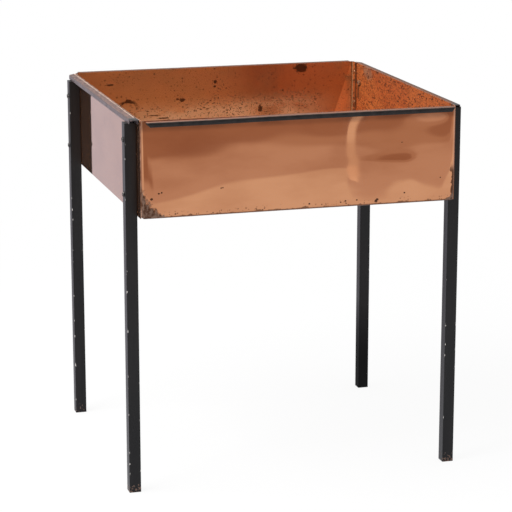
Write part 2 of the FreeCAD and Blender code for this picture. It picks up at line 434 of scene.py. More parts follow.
def soldered_corner(place):
    """Where the lower corners were soldered: a dull patch, largest at the front left."""
    across, deep, up = split(place)
    large = both(one_side(across, -1), one_side(deep, -1))
    size = ramp(large, 0.0, 1.0, SOLDER_SMALL, 1.0)
    inset = calc("SUBTRACT", TRAY_HIGH.x, calc("ABSOLUTE", across))
    above = calc("SUBTRACT", up, TRAY_LOW.z)
    grain = calc("SUBTRACT", cloud(place, 210.0, 4.0), 0.5)
    reach = calc("MULTIPLY", grain, SOLDER_RAGGED)
    for span, length in ((inset, SOLDER_ACROSS), (above, SOLDER_UP)):
        limit = calc("MULTIPLY", size, length)
        share = calc("DIVIDE", calc("MAXIMUM", span, 0.0), limit)
        reach = calc("ADD", reach, calc("POWER", share, SOLDER_BOW))
    return ramp(reach, 1.08, 0.92)


def browned_edge(place):
    """Where the fold at the right has browned, from the bottom to about a third of the way up."""
    across, deep, up = split(place)
    wander = ramp(cloud(place, 85.0, 4.0), 0.38, 0.68, BROWN_NARROW, BROWN_WIDE)
    inset = calc("SUBTRACT", TRAY_HIGH.x, across)
    edge = below(calc("SUBTRACT", inset, wander), 0.0, BROWN_BLUR)
    return both(edge, ramp(up, BROWN_TOP, BROWN_FULL), one_side(deep, -1))


def polished_copper():
    """The tray's outside: polished once, now smoky with tarnish and pitted, with painted shade in a band
    under the front rim.
    """
    material, skin, place = start_finish("polished_copper")
    colour, rough, pits = polished_skin(place)
    for across, up, size in FRONT_PITS:
        pits = either(pits, stain(place, (across, TRAY_LOW.y, up), PIT * size, *PIT_EDGE))
    burnt = either(pits, both(burnt_edge(place), 0.75), both(browned_edge(place), 0.9))
    solder = soldered_corner(place)
    mottle = ramp(cloud(place, 330.0, 4.0, (1, 1, 0.5)), 0.36, 0.58)
    _, deep, up = split(place)
    # Painted shade: a cloudy dark band on the front wall just under the rim strip, in the burnt copper
    # colour.
    clouding = both(ramp(up, RIM_SHADE_LOW, RIM_SHADE_HIGH), one_side(deep, -1),
                 ramp(cloud(place, 45.0, 4.0, (0.5, 1, 1)), 0.35, 0.65, 0.28, 0.55))
    colour = mix(clouding, colour, COPPER_BURNT_AND_SHADE)
    colour = mix(burnt, colour, COPPER_BURNT_AND_SHADE)
    colour = mix(solder, colour, mix(mottle, COPPER_BURNT_AND_SHADE, COPPER_OXIDE))
    eaten = either(burnt, solder)
    rough = either(rough, both(eaten, 0.55))
    relief = calc("SUBTRACT", both(solder, mottle), burnt)
    feed(skin, Base_Color=colour, Metallic=1.0, Roughness=rough, Normal=bump(relief, 0.00008),
         Coat_Weight=ramp(eaten, 0.0, 1.0, COAT, 0.1), Coat_Roughness=COAT_ROUGH)
    return material


INSIDE_PALE, INSIDE_BROWN = rgb(0.695, 0.408, 0.220), rgb(0.585, 0.332, 0.166)
ORANGE, ORANGE_DEEP = rgb(0.56, 0.158, 0.038), rgb(0.48, 0.114, 0.026)
RED_BROWN, RED_DARK = rgb(0.34, 0.066, 0.016), rgb(0.105, 0.022, 0.006)
HAZE, PAINTED_REFLECTION = rgb(0.80, 0.48, 0.290), rgb(1.0, 0.61, 0.32)
GREY, EATEN_AND_SHADE = rgb(0.26, 0.17, 0.12), rgb(0.062, 0.020, 0.007)
BACK_WALL, RIGHT_WALL, THROUGH = 0.228, 0.2315, 0.02
RIGHT_START, RIGHT_FULL = 0.2290, 0.2305
BACK_START, BACK_FULL = 0.225, 0.227
NEARBY_START, NEARBY_FULL = 0.05, -0.08
DASH_STRETCH, SMEAR_STRETCH = (0.55, 1, 1.2), (1, 0.42, 1)
WATERLINE_LOW, WATERLINE_HIGH, WATERLINE_TILT = 0.469, 0.506, 0.035
HAZE_END, HAZE_FULL = 0.215, 0.13
MIRROR_EDGE, MIRROR_SLANT, MIRROR_BLUR = 0.0345, 0.352, 0.003
GREY_PATCH, GREY_REACH, GREY_EDGE = (RIGHT_WALL, 0.157, 0.5400), (0.02, 0.022, 0.014), (1.2, 70.0)
SCREW_RUST, SCREW_RUST_REACH = (RIGHT_WALL, 0.198, 0.5150), (0.01, 0.010, 0.007)
SCREW_RUN, SCREW_RUN_REACH = (RIGHT_WALL, 0.203, 0.5020), (0.01, 0.004, 0.016)
LAP_LINE, LAP_WIDE, LAP_CORE = 0.2140, 0.0050, 0.0028
LAP_START, LAP_FULL = 0.2265, 0.2290
FOLD_START, FOLD_FULL = 0.2245, 0.2262
FINE_SPOTS, DASHES, CLUSTER_SPOTS = (540.0, 0.75, 0.58), (330.0, 0.30, 0.48), (380.0, 0.62, 0.56)
STRAY_SPOTS = ((260.0, 0.16, 0.5), (480.0, 0.20, 0.5))
RIGHT_SPOTS = ((270.0, 0.92, 0.66), (170.0, 0.56, 0.56))

# Marks on the back wall: across, up, half the width and half the height of each.
INSIDE_MARKS, MARK_EDGE = (
    (0.142, 0.5410, 0.0128, 0.0082),
    (-0.003, 0.5240, 0.0032, 0.0036),
    (-0.004, 0.5165, 0.0026, 0.0020),
    (-0.058, 0.4965, 0.0050, 0.0034),
    (-0.066, 0.4985, 0.0030, 0.0020),
    (0.0725, 0.4770, 0.0042, 0.0072),
    (-0.176, 0.5262, 0.0080, 0.0016),
    (-0.090, 0.4690, 0.0120, 0.0014),
    (-0.106, 0.4740, 0.0100, 0.0010),
    (-0.147, 0.4985, 0.0070, 0.0036),
), (1.5, 330.0)
CRESCENT, CRESCENT_EDGE = (-0.147, 0.4905, 0.0180, 0.0105), (0.9, 330.0)
CRESCENT_HOLLOW = (-0.146, 0.4880, 0.0150, 0.0090)
CLUSTERS = (
    (-0.152, 0.536, 0.016, 0.016),
    (-0.068, 0.524, 0.016, 0.012),
    (0.086, 0.531, 0.016, 0.014),
    (0.002, 0.520, 0.014, 0.014),
    (0.164, 0.518, 0.010, 0.010),
    (-0.060, 0.497, 0.018, 0.010),
)
FRECKLES = (
    (0.122, 0.490, 0.056, 0.022),
    (0.030, 0.474, 0.140, 0.018),
    (0.060, 0.486, 0.120, 0.018),
    (-0.120, 0.480, 0.060, 0.012),
)
CROWD_EDGE = (1.6, 60.0)


def back_stain(place, across, up, wide, tall, ragged=1.0, grain=220.0):
    """Mask a stain on the back wall."""
    return stain(place, (across, BACK_WALL, up), (wide, THROUGH, tall), ragged, grain)


def inside_spots(place, right_wall):
    """Where small spots have eaten the inside: crowds of fine ones, clusters, and a few strays."""
    crowd = both(right_wall, ramp(cloud(place, 30.0), 0.40, 0.60, 0.3, 1.0))
    crowds = [back_stain(place, *patch, *CROWD_EDGE) for patch in FRECKLES]
    clusters = [back_stain(place, *patch, *CROWD_EDGE) for patch in CLUSTERS]
    drawn = vector("MULTIPLY", place, DASH_STRETCH)
    fine = either(spots(place, *FINE_SPOTS), spots(drawn, *DASHES))
    coarse = spots(place, *CLUSTER_SPOTS)
    stray = either(*(spots(place, *kind) for kind in STRAY_SPOTS))
    return either(both(fine, either(crowd, *crowds)), both(stray, 0.7),
                  both(coarse, either(*clusters), 0.85))


def inside_marks(place):
    """Where larger marks have eaten the inside: single ones, a crescent, and rust at one screw."""
    arch = calc("SUBTRACT", back_stain(place, *CRESCENT, *CRESCENT_EDGE),
                back_stain(place, *CRESCENT_HOLLOW), clamp=True)
    rust = either(stain(place, SCREW_RUST, SCREW_RUST_REACH), stain(place, SCREW_RUN, SCREW_RUN_REACH))
    return either(arch, rust, *(back_stain(place, *mark, *MARK_EDGE) for mark in INSIDE_MARKS))


def lap_and_fold_shade(across, deep):
    """Painted shade inside: a dark line along the edges of the tabs' laps, and the corner folds beside
    them darkened.
    """
    from_middle = calc("ABSOLUTE", deep)
    aside = calc("ABSOLUTE", calc("SUBTRACT", from_middle, LAP_LINE))
    fold = both(ramp(from_middle, FOLD_START, FOLD_FULL), 0.75)
    line = either(ramp(aside, LAP_WIDE, LAP_CORE), fold)
    return both(line, ramp(calc("ABSOLUTE", across), LAP_START, LAP_FULL))


def spotted_copper():
    """The inside: dulled by water and earth, hazed below the old waterline, browned and spotted."""
    material, skin, place = start_finish("spotted_copper")
    across, deep, up = split(place)
    patches = cloud(place, 10.0, 5.0)
    right_wall = ramp(across, RIGHT_START, RIGHT_FULL)
    brown = mix(ramp(patches, 0.36, 0.68), INSIDE_PALE, INSIDE_BROWN)
    orange = mix(ramp(patches, 0.40, 0.60), ORANGE, ORANGE_DEEP)
    colour = mix(right_wall, brown, orange)
    level = calc("SUBTRACT", up, calc("MULTIPLY", across, WATERLINE_TILT))
    streaky = cloud(place, 26.0, 4.0, (0.7, 1, 1.5))
    haze = both(ramp(level, WATERLINE_HIGH, WATERLINE_LOW), ramp(streaky, 0.25, 0.55, 0.4, 1.0),
                ramp(across, HAZE_END, HAZE_FULL, 0.2, 1.0), calc("SUBTRACT", 1.0, right_wall))
    colour = mix(both(haze, 0.50), colour, HAZE)
    grey = stain(place, GREY_PATCH, GREY_REACH, *GREY_EDGE)
    colour = mix(both(grey, 0.6), colour, GREY)
    drawn = vector("MULTIPLY", place, SMEAR_STRETCH)
    mottle = both(ramp(cloud(drawn, 120.0, 4.0), 0.44, 0.64), 0.45)
    nearby = both(ramp(deep, NEARBY_START, NEARBY_FULL), 0.3)
    colour = mix(both(right_wall, either(mottle, nearby)), colour, RED_BROWN)
    freckled = either(*(spots(drawn, *kind) for kind in RIGHT_SPOTS))
    colour = mix(both(right_wall, freckled, 0.9), colour, RED_DARK)
    # Painted reflection: the back wall is painted a light orange right of a slanted line near the right
    # corner.
    slant = calc("SUBTRACT", across, calc("MULTIPLY", up, MIRROR_SLANT))
    painted_reflection = both(ramp(slant, MIRROR_EDGE, MIRROR_EDGE + MIRROR_BLUR), ramp(deep, BACK_START, BACK_FULL))
    colour = mix(both(painted_reflection, 0.9), colour, PAINTED_REFLECTION)
    # The dark marks: spots and stains that ate the copper, and painted shade along the tab laps and
    # corner folds.
    dark = either(both(inside_spots(place, right_wall), 0.85), both(inside_marks(place), 0.9),
                  both(lap_and_fold_shade(across, deep), 0.85))
    colour = mix(dark, colour, EATEN_AND_SHADE)
    rough = either(ramp(patches, 0.25, 0.75, 0.16, 0.28),
                   both(either(haze, right_wall), 0.5), both(dark, 0.35))
    dulled = either(both(right_wall, 0.60), both(haze, 0.35))
    feed(skin, Base_Color=colour, Roughness=rough, Metallic=calc("SUBTRACT", 0.95, dulled),
         Normal=bump(dark, 0.00005))
    return material


def cut_copper():
    """The sheared edges: blotchy, with a painted highlight that makes them light and pink at the left
    end.
    """
    material, skin, place = start_finish("cut_copper")
    rub = cloud(place, 60.0, 4.0)
    # Painted highlight: the edges at the left end are painted a light pink copper.
    left_end_highlight = ramp(split(place)[0], TRAY_LOW.x + BEND, TRAY_LOW.x + BEND / 2)
    bright = mix(left_end_highlight, rgb(0.42, 0.185, 0.095), rgb(0.80, 0.50, 0.36))
    colour = mix(ramp(rub, 0.35, 0.65), bright, rgb(0.34, 0.15, 0.08))
    feed(skin, Base_Color=colour, Metallic=1.0, Roughness=ramp(rub, 0.3, 0.7, 0.25, 0.5))
    return material


polished, spotted, sheared = polished_copper(), spotted_copper(), cut_copper()
for material in (polished, spotted, sheared):
    tray.data.materials.append(material)
apply_modifier(tray, "SOLIDIFY", thickness=SHEET, offset=-1, use_even_offset=True,
               material_offset=1, material_offset_rim=2)
for vertex in tray.data.vertices:
    vertex.co.z = min(vertex.co.z, TRAY_HIGH.z)
smooth(tray)
fit(tray, "tray_pan")


# End panels
# Two flat copper sheets with snipped corners that close the ends of the tray. Each lies outside the
# tabs of the folded sheet, soldered and riveted to them, and the legs are screwed up against it.
SNIP = 0.002
END_LUMP, END_SEED = 0.25, 13
HAIR_STRETCH = (1, 1, 0.035)
HAIR_LOW, HAIR_HIGH = 0.46, 0.53


def end_copper():
    """The ends' outside: as clean as a mirror, with a few hairline scratches down it."""
    material, skin, place = start_finish("end_copper")
    colour, rough, pits = polished_skin(place)
    hair = ramp(cloud(place, 330.0, 1.0, HAIR_STRETCH), 0.66, 0.72)
    upper = ramp(split(place)[2], HAIR_LOW, HAIR_HIGH, 0.15, 1.0)
    hair = both(hair, ramp(cloud(place, 14.0, 2.0), 0.45, 0.60), upper)
    colour = mix(both(hair, 0.8), colour, COPPER_OXIDE)
    colour = mix(pits, colour, COPPER_BURNT_AND_SHADE)
    eaten = either(hair, pits)
    rough = either(rough, both(eaten, 0.4))
    feed(skin, Base_Color=colour, Metallic=0.95, Roughness=rough, Normal=bump(eaten, -0.00002),
         Coat_Weight=COAT, Coat_Roughness=COAT_ROUGH)
    return material


end_face = end_copper()
for side, outward in (("left", -1), ("right", 1)):
    low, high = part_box(f"end_panel_{side}")
    panel = block(f"copper_end_{side}", low, high)
    pick(panel, "EDGE", lambda edge: along(edge, 0))
    bpy.ops.mesh.bevel(offset=SNIP, segments=1, affect="EDGES")
    slice_up(1, low.y + SNIP, high.y - SNIP, CELL)
    slice_up(2, low.z + SNIP, high.z - SNIP, CELL)
    bpy.ops.mesh.select_all(action="SELECT")
    bpy.ops.mesh.subdivide(number_cuts=CELL_CUTS)
    bpy.ops.object.mode_set(mode="OBJECT")
    for vertex in panel.data.vertices:
        x, y, z = vertex.co
        calm = ease(high.y - abs(y), 0, FLOOR_CALM) * ease(min(z - low.z, high.z - z), 0, CORNER_CALM)
        vertex.co.x += calm * END_LUMP * lump(y, z, END_SEED)
    for material in (end_face, spotted, sheared):
        panel.data.materials.append(material)
    for face in panel.data.polygons:
        if abs(face.normal.x) < 0.5:
            face.material_index = 2
        elif face.normal.x * outward < 0:
            face.material_index = 1
    smooth(panel)
    fit(panel, f"end_panel_{side}")


# Corner rivets
# Eight small copper rivets, two up each corner. They hold the tabs of the folded sheet to the end
# panels, with their round heads inside and their tails hammered flush outside.
RIVET_RADIUS, RIVET_SHANK = 0.003, 0.0015
RIVET_HEAD = 0.0015
RIVET_BAND = 0.0003
RIVET_DROP, RIVET_PITCH = 0.016, 0.050
RIVET_SIDES, RIVET_RINGS = 32, 5
DOME_FLAT = 0.3


def disc(name, radius, low, high, sides):
    """Add a round disc on the Z axis and leave it in edit mode."""
    bpy.ops.object.select_all(action="DESELECT")
    middle = (0, 0, (low + high) / 2)
    bpy.ops.mesh.primitive_cylinder_add(vertices=sides, radius=radius, depth=high - low, location=middle)
    piece = bpy.context.object
    piece.name = name
    bpy.ops.object.transform_apply()
    bpy.ops.object.mode_set(mode="EDIT")
    return piece


def raise_dome(piece, radius, height, rings):
    """Raise the top face of a disc in edit mode to a low dome, ring by ring."""
    pick(piece, "FACE", lambda face: face.normal.z > 0.9)
    for ring in range(rings):
        here, after = (math.pi / 2 * (ring + step) / (rings + DOME_FLAT) for step in (0, 1))
        inward = radius * (math.cos(here) - math.cos(after))
        bpy.ops.mesh.inset(thickness=inward, depth=height * (math.sin(after) - math.sin(here)))


def draw_shank(piece, head_radius, shank_radius, length):
    """Draw a shank down from the bottom face of a head in edit mode."""
    pick(piece, "FACE", lambda face: face.normal.z < -0.9)
    bpy.ops.mesh.inset(thickness=head_radius - shank_radius)
    bpy.ops.mesh.extrude_region_move(TRANSFORM_OT_translate={"value": (0, 0, -length)})


def place_copy(master, name, spot, outward, turn):
    """Copy a piece made on the Z axis, with its top pointing along X at a spot."""
    piece = master.copy()
    piece.data = master.data.copy()
    piece.name = name
    piece.data.name = name
    bpy.context.collection.objects.link(piece)
    lay = Matrix.Rotation(outward * math.pi / 2, 4, "Y") @ Matrix.Rotation(turn, 4, "Z")
    piece.matrix_world = Matrix.Translation(spot) @ lay
    choose(piece)
    bpy.ops.object.transform_apply()
    return piece


def rivet_copper():
    """Hammered copper, blotchy and darker than the sheet."""
    material, skin, place = start_finish("rivet_copper")
    beaten = cloud(place, 700.0, 3.0)
    colour = mix(ramp(beaten, 0.35, 0.65), rgb(0.50, 0.24, 0.13), rgb(0.22, 0.095, 0.05))
    rough = ramp(beaten, 0.3, 0.7, 0.28, 0.5)
    feed(skin, Base_Color=colour, Metallic=1.0, Roughness=rough, Normal=bump(beaten, 0.0001))
    return material


rivet_face = TRAY_HIGH.x - SHEET
rivet_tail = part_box("end_panel_right")[1].x
rivet = disc("rivet", RIVET_RADIUS, 0, RIVET_BAND, RIVET_SIDES)
raise_dome(rivet, RIVET_RADIUS, RIVET_HEAD - RIVET_BAND, RIVET_RINGS)
draw_shank(rivet, RIVET_RADIUS, RIVET_SHANK, rivet_tail - rivet_face)
bpy.ops.object.mode_set(mode="OBJECT")
rivet.data.materials.append(rivet_copper())
smooth(rivet)
for side, outward in (("left", -1), ("right", 1)):
    for end, deep in (("front", TRAY_LOW.y + TAB / 2), ("back", TRAY_HIGH.y - TAB / 2)):
        for row in range(2):
            up = TRAY_HIGH.z - RIVET_DROP - row * RIVET_PITCH
            spot = Vector((outward * rivet_face, deep, up))
            copy = place_copy(rivet, f"rivet_{end}_{side}_{row + 1}", spot, -outward, row)
            fit(copy, "corner_rivets")
bpy.data.objects.remove(rivet)


# Rim strips
# Four strips of thin steel folded to a channel and painted black, one along the top of each wall.
# They are soldered to the copper, and their ends are cut back on a slant, so the corners stay open.
STRIP_SHEET = 0.0012
STRIP_BEND = 0.0015
STRIP_CELL = 0.012
STRIP_EDGE = 0.0002
LIP_TAPER = 0.0035
END_TAPER, END_SHORT = 0.0015, 0.0020
SIDE_TAPER, SIDE_SHORT = 0.012, 0.003
BACK_TAPER = 0.004
RIGHT_SAG, FRONT_SAG, FRONT_SAG_RUN = 0.0016, 0.0010, 0.16
STRIP_TURNS = {"front": 0, "right": 90, "back": 180, "left": 270}


def soften(piece, width, degrees):
    """Round off the edges of a piece that are sharper than an angle."""
    apply_modifier(piece, "BEVEL", width=width, segments=2, limit_method="ANGLE",
                   angle_limit=math.radians(degrees))


def slant_end(sign, half, width, lip, taper, short):
    """Cut one end of a strip back across its flange, and then down its lips."""
    flange_run = Vector((sign * taper, width, 0))
    lip_run = Vector((sign * LIP_TAPER, 0, lip - STRIP_BEND))
    tip = Vector((sign * (half - taper), -width, 0))
    for start, run, across in (
        (tip, flange_run, Vector((0, 0, 1))),
        (tip + Vector((sign * (taper - short), 0, -STRIP_BEND)), lip_run, Vector((0, 1, 0))),
    ):
        facing = run.cross(across)
        facing.normalize()
        if facing.x * sign < 0:
            facing.negate()
        bpy.ops.mesh.select_all(action="SELECT")
        bpy.ops.mesh.bisect(plane_co=start, plane_no=facing, clear_outer=True)


def strip(name, turn):
    """Fold one strip lying along X with its wall at Y 0, and turn it to its own wall."""
    low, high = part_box(f"rim_strip_{name}")
    size = high - low
    length, width = (size.x, size.y) if turn % 180 == 0 else (size.y, size.x)
    half, lip = length / 2, size.z
    piece = block(f"rim_{name}", Vector((-half, -width, -lip)), Vector((half, 0, 0)))
    pick(piece, "FACE", lambda face: face.normal.z < -0.9 or abs(face.normal.x) > 0.9)
    bpy.ops.mesh.delete(type="FACE")
    pick(piece, "EDGE", lambda edge: along(edge, 0) and edge.verts[0].co.z > -lip / 2)
    bpy.ops.mesh.bevel(offset=STRIP_BEND, segments=4, affect="EDGES")
    slice_up(0, -half, half, STRIP_CELL)
    for sign in (-1, 1):
        taper, short = (END_TAPER, END_SHORT) if turn % 180 == 0 else (SIDE_TAPER, SIDE_SHORT)
        if (name, sign) == ("right", 1):
            taper = BACK_TAPER
        slant_end(sign, half, width, lip, taper, short)
    bpy.ops.object.mode_set(mode="OBJECT")
    apply_modifier(piece, "SOLIDIFY", thickness=STRIP_SHEET, offset=-1, use_even_offset=True)
    soften(piece, STRIP_EDGE, 50)
    if name == "right":
        for vertex in piece.data.vertices:
            vertex.co.z += RIGHT_SAG * vertex.co.y / width * (vertex.co.z + lip) / lip
    if name == "front":
        for vertex in piece.data.vertices:
            vertex.co.z -= FRONT_SAG * ease(-vertex.co.x, 0, FRONT_SAG_RUN)
    middle = (low + high) / 2
    angle = math.radians(turn)
    outward = Vector((math.sin(angle), -math.cos(angle), 0))
    piece.matrix_world = (
        Matrix.Translation(Vector((middle.x, middle.y, high.z)) - outward * width / 2)
        @ Matrix.Rotation(angle, 4, "Z")
    )
    choose(piece)
    bpy.ops.object.transform_apply()
    smooth(piece)
    return piece


LIP_FADED = rgb(0.0190, 0.0160, 0.0160)
PAINT_BLACK = rgb(0.0052, 0.0047, 0.0052)
PAINT_FADED = rgb(0.0110, 0.0098, 0.0102)
PAINT_GLOSS = 0.30
RUBBED_LEFT_SHEEN, BLOTCH_LEFT = rgb(0.300, 0.185, 0.155), rgb(0.110, 0.074, 0.072)
BARE_COPPER_SHEEN = rgb(0.78, 0.55, 0.43)
RUBBED_INNER, RUBBED_OUTER = rgb(0.205, 0.076, 0.034), rgb(0.110, 0.062, 0.044)
FRONT_INNER, FRONT_OUTER = rgb(0.310, 0.130, 0.075), rgb(0.205, 0.115, 0.085)
LEFT_LIP_SHEEN = rgb(0.100, 0.076, 0.080)
KEPT_START, KEPT_END = -0.194, -0.206
LEFT_START, LEFT_FULL = -0.2310, -0.2325
WORN_INNER, WORN_OUTER = 0.005, 0.0095
BARED_END, BARED_FULL = 0.0034, 0.0020


def strip_paint():
    """Black paint, rubbed thin and dusty along the top, where the copper's colour comes through; the left
    strip carries painted sheen.
    """
    material, skin, place = start_finish("strip_paint")
    clouding = cloud(place, 70.0, 5.0)
    aside, _, up = split(node("NewGeometry").outputs["Normal"])
    across, deep, _ = split(place)
    far_across = calc("SUBTRACT", calc("ABSOLUTE", across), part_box("end_panel_right")[1].x)
    far_deep = calc("SUBTRACT", calc("ABSOLUTE", deep), TRAY_HIGH.y)
    outward = either(far_across, far_deep)
    colour = mix(ramp(clouding, 0.3, 0.7), PAINT_BLACK, LIP_FADED)
    at_left = ramp(across, LEFT_START, LEFT_FULL)
    # Painted sheen: on the left strip the faces turned to the left are painted a paler, mauve grey.
    colour = mix(both(at_left, ramp(aside, -0.55, -0.95)), colour, LEFT_LIP_SHEEN)
    at_front = ramp(deep, TRAY_LOW.y + SHEET, TRAY_LOW.y)
    at_side = ramp(far_across, -0.0002, 0.0)
    inner = mix(at_front, RUBBED_INNER, FRONT_INNER)
    outer = mix(at_front, RUBBED_OUTER, FRONT_OUTER)
    copper_worn = mix(ramp(outward, WORN_INNER, WORN_OUTER), inner, outer)
    patchy = ramp(cloud(place, 210.0, 4.0), 0.42, 0.60)
    # The rubbed top of the left strip and its bared inner edge: real wear, painted paler and pinker than
    # on the other strips as a painted sheen.
    left_worn_sheen = mix(patchy, BLOTCH_LEFT, RUBBED_LEFT_SHEEN)
    bared = both(ramp(outward, BARED_END, BARED_FULL), ramp(clouding, 0.35, 0.55, 0.35, 0.95))
    left_worn_sheen = mix(bared, left_worn_sheen, BARE_COPPER_SHEEN)
    worn = mix(at_left, copper_worn, left_worn_sheen)
    blotch = ramp(cloud(place, 130.0, 4.0), 0.30, 0.55, 0.45, 1.0)
    kept = both(at_side, ramp(deep, KEPT_START, KEPT_END))
    rubbed = both(ramp(up, 0.6, 0.95), blotch, calc("SUBTRACT", 1.0, kept))
    colour = mix(both(rubbed, 0.95), colour, worn)
    rough = either(ramp(clouding, 0.2, 0.8, 0.26, 0.46), both(rubbed, 0.75))
    feed(skin, Base_Color=colour, Roughness=rough, Normal=bump(clouding, 0.00008),
         Specular_IOR_Level=PAINT_GLOSS)
    return material


rim_finish = strip_paint()
for name, turn in STRIP_TURNS.items():
    piece = strip(name, turn)
    piece.data.materials.append(rim_finish)
    fit(piece, f"rim_strip_{name}")


# Legs
# Four lengths of square steel bar, sawn off plain and painted black. They stand under the rim strips
# at the ends of the tray, and two screws hold each one to the copper.
LEG_EDGE = 0.0008
LEG_CELL = 0.030
WEAR_BAND = 0.0022
FOOT_WEAR = 0.024
CHIPPED_STEEL, WORN_FOOT = rgb(0.55, 0.52, 0.50), rgb(0.155, 0.095, 0.072)
LEG_SHADE_BLACK, LEG_SHADE_TOP, LEG_SHADE_FULL = rgb(0.0015, 0.0015, 0.0015), 0.24, 0.04


def leg_paint():
    """Brushed black paint, chipped along the corners and worn off round the foot, with painted shade that
    makes the lower back right leg a deeper, duller black with fewer chips.
    """
    material, skin, place = start_finish("leg_paint")
    edge = node("Attribute", attribute_name="edge").outputs["Fac"]
    brush = cloud(place, 60.0, 4.0, (1, 1, 0.12))
    colour = mix(ramp(brush, 0.3, 0.7), PAINT_BLACK, PAINT_FADED)
    across, deep, up = split(place)
    # Painted shade: the lower part of the back right leg is painted a deeper black.
    back_leg_shade = both(one_side(across, 1), one_side(deep, 1), ramp(up, LEG_SHADE_TOP, LEG_SHADE_FULL))
    colour = mix(back_leg_shade, colour, LEG_SHADE_BLACK)
    foot = ramp(up, FOOT_WEAR, 0.0)
    knocked = both(edge, ramp(up, 0.42, 0.30, 0.145, 0.188))
    scuffed = both(foot, ramp(one_side(deep, -1), 0.0, 1.0, 0.20, 0.265))
    chance = calc("ADD", knocked, scuffed)
    long_flaw = calc("ADD", cloud(place, 300.0, 5.0, (1, 1, 0.35)), knocked)
    flaw = calc("MAXIMUM", long_flaw, calc("ADD", cloud(place, 260.0, 5.0), scuffed))
    bare = both(ramp(flaw, 0.755, 0.785), ramp(chance, 0.02, 0.08), ramp(back_leg_shade, 0.3, 0.1))
    colour = mix(bare, colour, mix(ramp(foot, 0.1, 0.5), CHIPPED_STEEL, WORN_FOOT))
    rough = either(ramp(brush, 0.2, 0.8, 0.26, 0.40), both(bare, 0.65), both(back_leg_shade, 0.85))
    relief = calc("SUBTRACT", brush, both(bare, 1.2))
    feed(skin, Base_Color=colour, Roughness=rough, Normal=bump(relief, 0.00008),
         Specular_IOR_Level=PAINT_GLOSS)
    return material


def mark_edges(piece, middle, half):
    """Store on each point how near it lies to a long corner of the bar."""
    marks = piece.data.attributes.new("edge", "FLOAT", "POINT")
    for vertex in piece.data.vertices:
        inset = half - min(abs(vertex.co.x - middle.x), abs(vertex.co.y - middle.y))
        marks.data[vertex.index].value = 1 - min(inset / WEAR_BAND, 1)


leg_finish = leg_paint()
for end in ("front", "back"):
    for side in ("left", "right"):
        low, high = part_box(f"leg_{end}_{side}")
        middle = (low + high) / 2
        half = (high.x - low.x) / 2
        leg = block(f"bar_{end}_{side}", low, high)
        pick(leg, "EDGE", lambda edge: along(edge, 2))
        bpy.ops.mesh.bevel(offset=LEG_EDGE, segments=3, affect="EDGES")
        for axis in (0, 1):
            for sign in (-1, 1):
                cut(axis, middle[axis] + sign * (half - WEAR_BAND))
        slice_up(2, low.z, high.z, LEG_CELL)
        bpy.ops.object.mode_set(mode="OBJECT")
        mark_edges(leg, middle, half)
        leg.data.materials.append(leg_finish)
        smooth(leg)
        fit(leg, f"leg_{end}_{side}")


# Leg screws
# Eight M4 steel screws with slotted round heads, painted over with the legs. Each goes through a leg
# and an end panel from outside, and its tip just shows past the nut in the tray.
SCREW_RADIUS, SCREW_SHANK = 0.004, 0.002
SCREW_HEAD, SCREW_BAND = 0.0026, 0.0005
SCREW_TIP, SCREW_POINT, SCREW_TAPER = 0.0008, SCREW_SHANK / 3, 0.7
SLOT_WIDTH, SLOT_DEPTH = 0.0010, 0.0012
SCREW_SIDES, SCREW_RINGS = 40, 6
SCREW_EDGE = 0.0001
FASTENER_ANGLE = 30
SCREW_DROP = 0.0305
SCREW_TURN = math.radians(52)
NUT_HEIGHT = 0.0032


def cut_away(piece, cutter, operation="DIFFERENCE"):
    """Cut a piece with another one, which is used up."""
    bpy.ops.object.mode_set(mode="OBJECT")
    apply_modifier(piece, "BOOLEAN", object=cutter, operation=operation, solver="EXACT")
    bpy.data.objects.remove(cutter)


def screw_paint():
    """The legs' black paint, worn off in small spots."""
    material, skin, place = start_finish("screw_paint")
    wear = cloud(place, 500.0, 3.0)
    bare = ramp(wear, 0.56, 0.64)
    colour = mix(bare, PAINT_FADED, rgb(0.30, 0.27, 0.25))
    rough = ramp(wear, 0.3, 0.7, 0.2, 0.36)
    feed(skin, Base_Color=colour, Metallic=both(bare, 0.8), Roughness=rough,
         Specular_IOR_Level=0.5, Normal=bump(wear, 0.00006))
    return material


leg_low, leg_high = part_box("leg_back_right")
nut_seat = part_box("end_panel_right")[0].x
screw_length = leg_high.x - nut_seat + NUT_HEIGHT + SCREW_TIP
screw = disc("screw", SCREW_RADIUS, 0, SCREW_BAND, SCREW_SIDES)
raise_dome(screw, SCREW_RADIUS, SCREW_HEAD - SCREW_BAND, SCREW_RINGS)
draw_shank(screw, SCREW_RADIUS, SCREW_SHANK, screw_length - SCREW_POINT)
bpy.ops.mesh.extrude_region_move(TRANSFORM_OT_translate={"value": (0, 0, -SCREW_POINT)})
bpy.ops.transform.resize(value=(SCREW_TAPER, SCREW_TAPER, 1))
bpy.ops.object.mode_set(mode="OBJECT")
slot_reach = Vector((SCREW_RADIUS * 1.2, SLOT_WIDTH / 2, SLOT_DEPTH))
slot_middle = Vector((0, 0, SCREW_HEAD))
cut_away(screw, block("slot", slot_middle - slot_reach, slot_middle + slot_reach))
soften(screw, SCREW_EDGE, 40)
screw.data.materials.append(screw_paint())
smooth(screw, FASTENER_ANGLE)
screw_rows = (TRAY_HIGH.z - SCREW_DROP, TRAY_LOW.z + SCREW_DROP)
screw_deep = (leg_low.y + leg_high.y) / 2
fastenings = [
    (f"{end}_{side}_{row + 1}", outward, deep, screw_rows[row])
    for end, deep in (("front", -screw_deep), ("back", screw_deep))
    for side, outward in (("left", -1), ("right", 1))
    for row in range(2)
]
for index, (name, outward, deep, up) in enumerate(fastenings):
    spot = Vector((outward * leg_high.x, deep, up))
    copy = place_copy(screw, f"screw_{name}", spot, outward, index * SCREW_TURN)
    fit(copy, "leg_screws")
bpy.data.objects.remove(screw)


